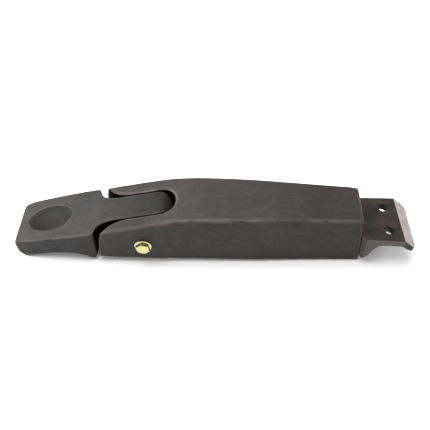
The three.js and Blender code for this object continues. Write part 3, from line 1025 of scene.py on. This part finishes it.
# ------------------------------------------------------------------ lever
@dataclass
class ThumbLever:
    """Moulded lever: a chunky thumb paddle with an arched underside, and a tongue ahead of it.

    Attributes:
        tail: Tail end of the paddle.
        front: Front end of the tongue.
        tongue: Half width of the tongue.
        paddle: Half width of the paddle, from its tail to its shoulders.
        under: Height of the underside, from the tail to the tongue's front.
        flush: Place from which the top sinks below the grip's.
        hollow_x: Middle of the thumb hollow.
        hollow_size: Half lengths of the ball that makes the hollow, along X, Y and Z.
        bore: Radius of the pivot bore.
    """

    tail: float = -74.2
    front: float = 15.2
    tongue: float = 8.3
    paddle: Profile = Profile(((-74.2, 12.4), (-73.9, 13.5), (-73.0, 14.3), (-71.3, 14.9), (-68, 15.4),
                               (-60, 16.1), (-50, 16.7), (-40, 17.1), (-31, 17.2), (-28.6, 17.1),
                               (-27.6, 16.4), (-27.0, 14.8), (-25.6, 11.7), (-23.6, 10.0),
                               (-19.5, 8.7), (-16, 8.3)))
    under: Profile = Profile(((-74.2, 2.5), (-73.6, -1.9), (-71.9, -4.3), (-69, -5), (-61, -2.6), (-56, -1.0),
                              (-51, 0.2), (-46, 0.9), (-40, 0.9), (-35, 0), (-31.4, -1.9), (-28.8, -2.5),
                              (-27.4, -1.2), (-26.6, 1.6), (-24.6, 6.2), (-21, 8.3),
                              (-9, 8.3), (-6.5, 8.2), (-4, 6.5), (0, 5.3), (4, 6.5), (6.8, 11), (8.2, 18),
                              (10, 20.6), (15.2, 23)))
    flush: float = -24.0
    hollow_x: float = -55.2
    hollow_size: tuple[float, float, float] = (13.9, 9.6, 3.2)
    bore: float = 4.3

    def half(self, x: float) -> float:
        """Works out the half width of the lever.

        Args:
            x: Station in millimetres.

        Returns:
            Half width in millimetres.
        """
        centre = self.front - self.tongue
        if x > centre:
            return math.sqrt(max(self.tongue ** 2 - (x - centre) ** 2, 0.8))
        return self.paddle.at(x)

    def top(self, x: float) -> float:
        """Works out the height of the lever's top.

        Args:
            x: Station in millimetres.

        Returns:
            Height in millimetres.
        """
        if x < self.tail + 6:
            return slope_top(x) - 0.03 * (self.tail + 6 - x) ** 2
        sink = max(x - self.flush, 0) / (self.front - self.flush)
        drop = max(x - 8, 0)
        return slope_top(x) - 0.3 * sink - 0.09 * drop * drop

    def stations(self) -> list[float]:
        """Lists the ring positions, closer together where the outline turns quickly.

        Returns:
            Places along X in millimetres.
        """
        tail = [self.tail + d for d in (0, 0.4, 1.4, 3.1, 5.4, 8, 12)]
        body = [-58, -52, -46, -40, -35, -31.4, -29.6, -28.6, -27.9, -27.3]
        neck = [-26.6, -25.6, -24.6, -23.2, -21.2, -19]
        hub = [-16, -11, -8, -6.5, -5, -3, 0, 3, 5, 6.2, 7]
        centre = self.front - self.tongue
        angles = (12, 24, 36, 47, 57, 66, 74, 81, 86, 90)
        tip = [centre + self.tongue * math.sin(math.radians(angle)) for angle in angles]
        return tail + body + neck + hub + tip

    def hollow(self) -> bpy.types.Object:
        """Makes the cutter for the shallow oval thumb hollow.

        Returns:
            The cutter.
        """
        bpy.ops.object.select_all(action="DESELECT")
        centre = Vector((self.hollow_x, 0, slope_top(self.hollow_x) + 0.7)) * MM
        bpy.ops.mesh.primitive_uv_sphere_add(segments=72, ring_count=48, radius=1, location=centre,
                                             scale=Vector(self.hollow_size) * MM,
                                             rotation=(0, -math.atan(TOP_SLOPE), 0))
        return Bench.settle("thumb_hollow")

    def cutters(self) -> list[bpy.types.Object]:
        """Makes the cutters for the pivot bore, the steel core and the thrust washers.

        Returns:
            The cutters.
        """
        bore = Bench.rod("lever_bore", (0, 0, PIVOT_Z), self.bore, 60)
        core_way = Bench.block("core_way", (-21.4, -1.8, -10), (30, 1.8, 18.9))
        wells = [Bench.rod("washer_well", (0, side * 9.7, PIVOT_Z), 7.2, 4.6) for side in (-1, 1)]
        pins = [Bench.rod("pin_hole", (x, 0, PIVOT_Z), 1.5, 60, "Y", 24) for x in (-11, -18)]
        return [bore, core_way, *wells, *pins]

    def build(self, finishes: Finishes) -> bpy.types.Object:
        """Makes and dresses the lever.

        Args:
            finishes: The handle's materials.

        Returns:
            The lever.
        """
        lever = RingBody("lever_body", self.stations(), self.half, self.top, self.under.at, 0.8, 1.6).build()
        Bench.soften(lever, 0.45, 4)
        Bench.relax(lever, self._is_upper_edge, 12)
        Bench.relax(lever, self._is_lower_edge, 14)
        Bench.relax(lever, lambda p: p.x < self.tail + 6, 4)
        Bench.combine(lever, self.hollow(), Cut.TAKE_AWAY)
        Bench.modify(lever, "SMOOTH", factor=0.5, iterations=2)
        Bench.relax(lever, self._is_hollow_rim, 12)
        for cutter in self.cutters():
            Bench.combine(lever, cutter, Cut.TAKE_AWAY)
        # Rubbed edges with a painted highlight, then painted shade in the gap, on the tongue, in the hollow
        # and on the sides.
        Bench.mark_wear_and_highlight(lever)
        Bench.mark_painted_shade(lever, self._painted_shade)
        Bench.shade(lever)
        lever.data.materials.append(finishes.lever)
        dress(lever, Body.LEVER, "lever_plastic", "thumb_lever")
        return lever

    def _painted_shade(self, p: Vector, normal: Vector) -> float:
        """Painted shade on the faces towards the grip, with lighter painted shade on the tongue, in the thumb
        hollow and on the sides.

        Args:
            p: Point in millimetres.
            normal: Outward direction at the point.

        Returns:
            Painted shade from 0 to 1.
        """
        # Full painted shade on the faces that look into the gap towards the grip.
        if normal.z < 0.35 and p.x > -27.3 and (normal.x > 0.3 or p.x > self.flush):
            return 1.0
        # Painted shade on the tongue, darker towards its front.
        if p.x > self.flush:
            return 0.12 + 0.4 * (p.x - self.flush) / (self.front - self.flush)
        # Painted shade in the thumb hollow, darker towards its tail end and its far side.
        along = (p.x - self.hollow_x) / 13.4
        inside = 1 - along ** 2 - (p.y / 9.3) ** 2
        if inside > 0 and normal.z > 0.5:
            return 0.5 * min(inside * 2.5, 1) * (1 - 0.3 * along + 0.02 * p.y)
        # Lighter painted shade on the sides.
        return 0.24 * ramp(abs(normal.y), 0.5, 0.9)

    def _is_upper_edge(self, p: Vector) -> bool:
        """Whether a point lies near the paddle's near upper edge."""
        return p.x < -30 and p.z > slope_top(p.x) - 3.5 and p.y < 3 - self.half(p.x)

    def _is_lower_edge(self, p: Vector) -> bool:
        """Whether a point lies near the paddle's near lower edge."""
        return p.x < -30 and p.z < 2 and p.y < 4 - self.half(p.x)

    def _is_hollow_rim(self, p: Vector) -> bool:
        """Whether a point lies in or around the thumb hollow."""
        return p.x < -36 and abs(p.y) < 12 and p.z > slope_top(p.x) - 1.2


# ------------------------------------------------------------------ nose
@dataclass
class BladeHolder:
    """Forged nose: flat plate with two screw holes, a ground front bevel and a deep root.

    Attributes:
        plan: Half width from the root to the front edge.
        under: Height of the underside, root curve first.
        top: Height of the plate's upper face.
        root: Rear end of the plate at its upper face.
        fold: Start of the ground bevel on the middle plane.
        tip: Front edge of the bevel.
        tip_z: Height of the front edge.
        skew: Turn of the bevel about the vertical, in radians.
        hole_x: Place of the screw holes along the nose, on the middle plane.
        hole_y: Distance of a screw hole from the middle plane.
        hole_skew: How far the far hole stands back, and the near one forward.
        hole_radius: Radius of the screw holes.
    """

    plan: Profile = Profile(((119, 12.2), (120, 13.4), (121.4, 14.9), (124, 15.3), (136, 15.6), (146.4, 15.9),
                             (148.2, 15.7), (149.0, 14.9), (149.4, 13.7), (149.7, 10.0)))
    under: Profile = Profile(((119.6, 4.6), (121.6, 4.8), (123.6, 5.9), (125.4, 8.6), (126.7, 12.2),
                              (128.2, 15.4), (129.6, 17.2), (131.4, 17.6), (142.2, 17.6), (143.4, 16.5),
                              (147.9, 14.5), (149.7, 14.6)))
    top: float = 22.2
    root: float = 119.7
    fold: float = 142.0
    tip: float = 149.7
    tip_z: float = 16.0
    skew: float = 0.045
    hole_x: float = 134.6
    hole_y: float = 8.25
    hole_skew: float = 0.5
    hole_radius: float = 2.65

    def plate(self) -> bpy.types.Object:
        """Makes the plate with its root and grinds the front bevel.

        Returns:
            The plate.
        """
        stations = [self.root, 122.4, 123.6, 124.6, 125.4, 126.1, 126.8, 127.6, 128.4, 129.4, 131.4,
                    136, 142.2, 143.4, 146.4, 147.4, 148.2, 148.7, 149.0, 149.4, 149.7]
        plate = RingBody("nose_plate", stations, self.plan.at, lambda x: self.top, self.under.at).build()
        Bench.edit(plate)
        Bench.pick(plate, Element.VERTEX, lambda p: p.x < self.root + 0.01 and p.z < 8)
        bpy.ops.transform.translate(value=(1.75 * MM, 0, 0))
        Bench.done()
        Bench.combine(plate, self._wheel(), Cut.TAKE_AWAY)
        return plate

    def _wheel(self) -> bpy.types.Object:
        """Makes the block that the grinding wheel takes off the front.

        Returns:
            The cutter.
        """
        wheel = Bench.block("wheel", (self.fold - 3, -30, self.top), (self.fold + 27, 30, self.top + 20))
        pivot = Vector((self.fold, 0, self.top)) * MM
        Bench.edit(wheel)
        bpy.ops.mesh.select_all(action="SELECT")
        fall = math.atan2(self.top - self.tip_z, self.tip - self.fold)
        bpy.ops.transform.rotate(value=-fall, orient_axis="Y", center_override=pivot)
        bpy.ops.transform.rotate(value=-self.skew, orient_axis="Z", center_override=pivot)
        Bench.done()
        return wheel

    def build(self, finishes: Finishes) -> bpy.types.Object:
        """Makes and dresses the blade holder.

        Args:
            finishes: The handle's materials.

        Returns:
            The blade holder.
        """
        holder = self.plate()
        Bench.combine(holder, Bench.block("nose_neck", (116, -9.6, 4), (124, 9.6, 20)), Cut.ADD)
        Bench.combine(holder, Bench.block("nose_lug", (101.5, -6, 7.7), (117, 6, 12.3)), Cut.ADD)
        for side in (-1, 1):
            middle = (self.hole_x - side * self.hole_skew, side * self.hole_y, 20)
            hole = Bench.rod("screw_hole", middle, self.hole_radius, 20, "Z", 48)
            Bench.combine(holder, hole, Cut.TAKE_AWAY)
        for x in (105.5, 111.5):
            Bench.combine(holder, Bench.rod("rivet_hole", (x, 0, 10), 2.2, 20, "Z", 32), Cut.TAKE_AWAY)
        Bench.modify(holder, "BEVEL", width=0.3 * MM, segments=3, limit_method="ANGLE",
                     angle_limit=math.radians(32), use_clamp_overlap=True)
        Bench.shade(holder, 40)
        Bench.modify(holder, "WEIGHTED_NORMAL", keep_sharp=True)
        for material in (finishes.black, finishes.bevel, finishes.edge):
            holder.data.materials.append(material)
        self._share_out(holder)
        dress(holder, Body.NOSE, "black_steel", "blade_holder")
        return holder

    def _share_out(self, holder: bpy.types.Object) -> None:
        """Gives the bevel and the sides their own finishes, the second and third.

        Args:
            holder: The blade holder, with its three materials.
        """
        for face in holder.data.polygons:
            middle, normal = face.center / MM, face.normal
            if middle.x > self.fold - 1.2 and normal.z > 0.5 and normal.x > 0.45:
                face.material_index = 1
            elif abs(normal.y) > 0.3 and abs(middle.y) > 11 and middle.x < self.fold + 1.5:
                face.material_index = 2


# ------------------------------------------------------------------ pivot
@dataclass
class PivotBolt:
    """Hexagon flange bolt that the lever turns on.

    Attributes:
        flats: Size across the head's flats.
        side: Y of the flange's inner face.
        flange: Radius of the flange.
        head: Height of the hexagon above the flange's inner face.
        shank: Radius of the shank.
        reach: Length of the shank.
        turn: Turn of the hexagon about its axis in degrees.
    """

    flats: float = 7.0
    side: float = -17.5
    flange: float = 4.8
    head: float = 3.1
    shank: float = 2.0
    reach: float = 35.1
    turn: float = 11.0

    def hexagon(self) -> bpy.types.Object:
        """Makes the hexagon with its corners turned off round.

        Returns:
            The hexagon.
        """
        corner = self.flats / math.sqrt(3)
        length = self.head - 0.4
        middle = self.side - 0.4 - length / 2
        hexagon = Bench.rod("bolt_hexagon", (0, middle, PIVOT_Z), corner, length, "Y", 6)
        Bench.edit(hexagon)
        bpy.ops.mesh.select_all(action="SELECT")
        bpy.ops.transform.rotate(value=math.radians(self.turn), orient_axis="Y",
                                 center_override=(0, middle * MM, PIVOT_Z * MM))
        Bench.done()
        bpy.ops.object.select_all(action="DESELECT")
        bpy.ops.mesh.primitive_cone_add(vertices=64, radius1=corner * 1.9 * MM,
                                        radius2=(self.flats / 2 - 0.25) * MM,
                                        depth=2.6 * MM, rotation=(math.pi / 2, 0, 0),
                                        location=Vector((0, self.side - self.head + 1.3, PIVOT_Z)) * MM)
        Bench.combine(hexagon, Bench.settle("corner_cone"), Cut.KEEP_COMMON)
        return hexagon

    def build(self, finishes: Finishes) -> bpy.types.Object:
        """Makes and dresses the bolt.

        Args:
            finishes: The handle's materials.

        Returns:
            The bolt.
        """
        bolt = Bench.rod("bolt_body", (0, self.side - 0.35, PIVOT_Z), self.flange, 0.7, "Y", 72)
        Bench.edit(bolt)
        Bench.pick(bolt, Element.FACE, lambda p: p.y < self.side - 0.6)
        bpy.ops.mesh.extrude_region_move(TRANSFORM_OT_translate={"value": (0, -0.35 * MM, 0)})
        bpy.ops.transform.resize(value=(0.84, 1, 0.84), center_override=(0, self.side * MM, PIVOT_Z * MM))
        Bench.done()
        middle = (0, self.side + self.reach / 2 - 0.2, PIVOT_Z)
        rod = Bench.rod("bolt_shank", middle, self.shank, self.reach, "Y", 32)
        Bench.combine(bolt, self.hexagon(), Cut.ADD)
        Bench.combine(bolt, rod, Cut.ADD)
        Bench.modify(bolt, "BEVEL", width=0.12 * MM, segments=2, limit_method="ANGLE",
                     angle_limit=math.radians(25), use_clamp_overlap=True)
        Bench.shade(bolt, 25)
        bolt.data.materials.append(finishes.zinc)
        dress(bolt, Body.GRIP, "yellow_zinc", "pivot_bolt")
        return bolt


# ------------------------------------------------------------------ pieces kept from the frame
@dataclass
class KeptPieces:
    """Pieces whose frame shape is right and that only get a better finish.

    Attributes:
        looks: Finish of each record slot, by the slot's name.
    """

    looks: dict[str, bpy.types.Material]

    @classmethod
    def from_finishes(cls, finishes: Finishes) -> "KeptPieces":
        """Pairs the record's slots with the handle's finishes.

        Args:
            finishes: The handle's materials.

        Returns:
            The pieces, ready to dress.
        """
        return cls({"grip_plastic": finishes.grip, "lever_plastic": finishes.lever,
                    "black_steel": finishes.black, "yellow_zinc": finishes.zinc,
                    "bright_steel": finishes.steel, "nylon": finishes.nylon, "shoe_brass": finishes.brass})

    def dress(self) -> None:
        """Gives every node of the frame its finish."""
        slots = {part["node"]: part["material_slot"] for part in frame["record"]["subparts"]}
        for name, node in frame["nodes"].items():
            material = self.looks[slots[name]]
            if not node.material_slots:
                node.data.materials.append(material)
            for holder in node.material_slots:
                holder.material = material
            log.info("%s keeps its shape, finish %s", name, material.name)


# ------------------------------------------------------------------ studio
@dataclass
class Studio:
    """Pale floor, soft lights and the camera.

    Attributes:
        aim: Point on the middle plane that the camera looks at, in millimetres.
        distance: Distance of the camera in millimetres.
        elevation: Height angle of the camera in degrees.
        roll: Turn of the camera about its line of sight in degrees.
        lens: Focal length on a 36 mm wide sensor.
    """

    aim: tuple[float, float, float] = (39.0, 5.03, 14.0)
    distance: float = 328.0
    elevation: float = 50.0
    roll: float = 2.13
    lens: float = 47.72

    def camera(self) -> None:
        """Adds the camera."""
        tilt = math.radians(self.elevation)
        away = Vector((0, -math.cos(tilt), math.sin(tilt)))
        data = bpy.data.cameras.new("camera")
        data.lens = self.lens
        data.sensor_width = 36.0
        data.clip_start = 0.01
        camera = bpy.data.objects.new("camera", data)
        bpy.context.scene.collection.objects.link(camera)
        turn = Matrix.Rotation(math.pi / 2 - tilt, 4, "X") @ Matrix.Rotation(math.radians(self.roll), 4, "Z")
        place = (Vector(self.aim) + away * self.distance) * MM
        camera.matrix_world = Matrix.Translation(place) @ turn
        bpy.context.scene.camera = camera

    def floor(self) -> None:
        """Adds the floor, which touches the paddle's tail and the grip's nose end."""
        tail, nose = Vector((-69.0, 0, -5.0)), Vector((121.8, 0, 0.0))
        slope = math.atan2(nose.z - tail.z, nose.x - tail.x)
        gap = Vector((0, 0, 0.2))
        bpy.ops.object.select_all(action="DESELECT")
        bpy.ops.mesh.primitive_plane_add(size=6, location=(tail - gap) * MM, rotation=(0, -slope, 0))
        floor = Bench.settle("floor")
        board = NodeBoard("pale_floor")
        tone = board.window(board.noise(60, (1, 1, 1), 2), 0.3, 0.7)
        colour = board.blend(tone, (0.93, 0.93, 0.93), (0.95, 0.95, 0.95))
        board.link(colour, board.shader.inputs["Base Color"])
        board.shader.inputs["Roughness"].default_value = 0.9
        floor.data.materials.append(board.material)

    def lamp(self, name: str, place: Sequence[float], size: float, power: float) -> None:
        """Adds a square soft light that faces the object.

        Args:
            name: Name of the light.
            place: Position in metres.
            size: Side of the square in metres.
            power: Power in watts.
        """
        data = bpy.data.lights.new(name, "AREA")
        data.size = size
        data.energy = power
        lamp = bpy.data.objects.new(name, data)
        bpy.context.scene.collection.objects.link(lamp)
        towards = Vector(self.aim) * MM - Vector(place)
        turn = towards.to_track_quat("-Z", "Y").to_matrix().to_4x4()
        lamp.matrix_world = Matrix.Translation(place) @ turn

    def build(self) -> None:
        """Sets up the whole studio."""
        scene = bpy.context.scene
        scene.view_settings.view_transform = "Standard"
        world = scene.world or bpy.data.worlds.new("studio")
        scene.world = world
        world.use_nodes = True
        background = world.node_tree.nodes["Background"]
        background.inputs["Color"].default_value = (1, 1, 1, 1)
        background.inputs["Strength"].default_value = 0.88
        self.camera()
        self.floor()
        self.lamp("overhead", (-0.25, 0.1, 0.8), 0.8, 10)
        self.lamp("tail_key", (-0.8, 0.25, 0.7), 0.3, 13)
        log.info("studio is set")


def main() -> None:
    """Builds the studio and the handle's pieces in order."""
    logging.basicConfig(level=logging.INFO, format="%(message)s")
    Studio().build()
    finishes = Finishes()
    KeptPieces.from_finishes(finishes).dress()
    Grip().build(finishes)
    ThumbLever().build(finishes)
    BladeHolder().build(finishes)
    PivotBolt().build(finishes)


if __name__ == "__main__":
    main()
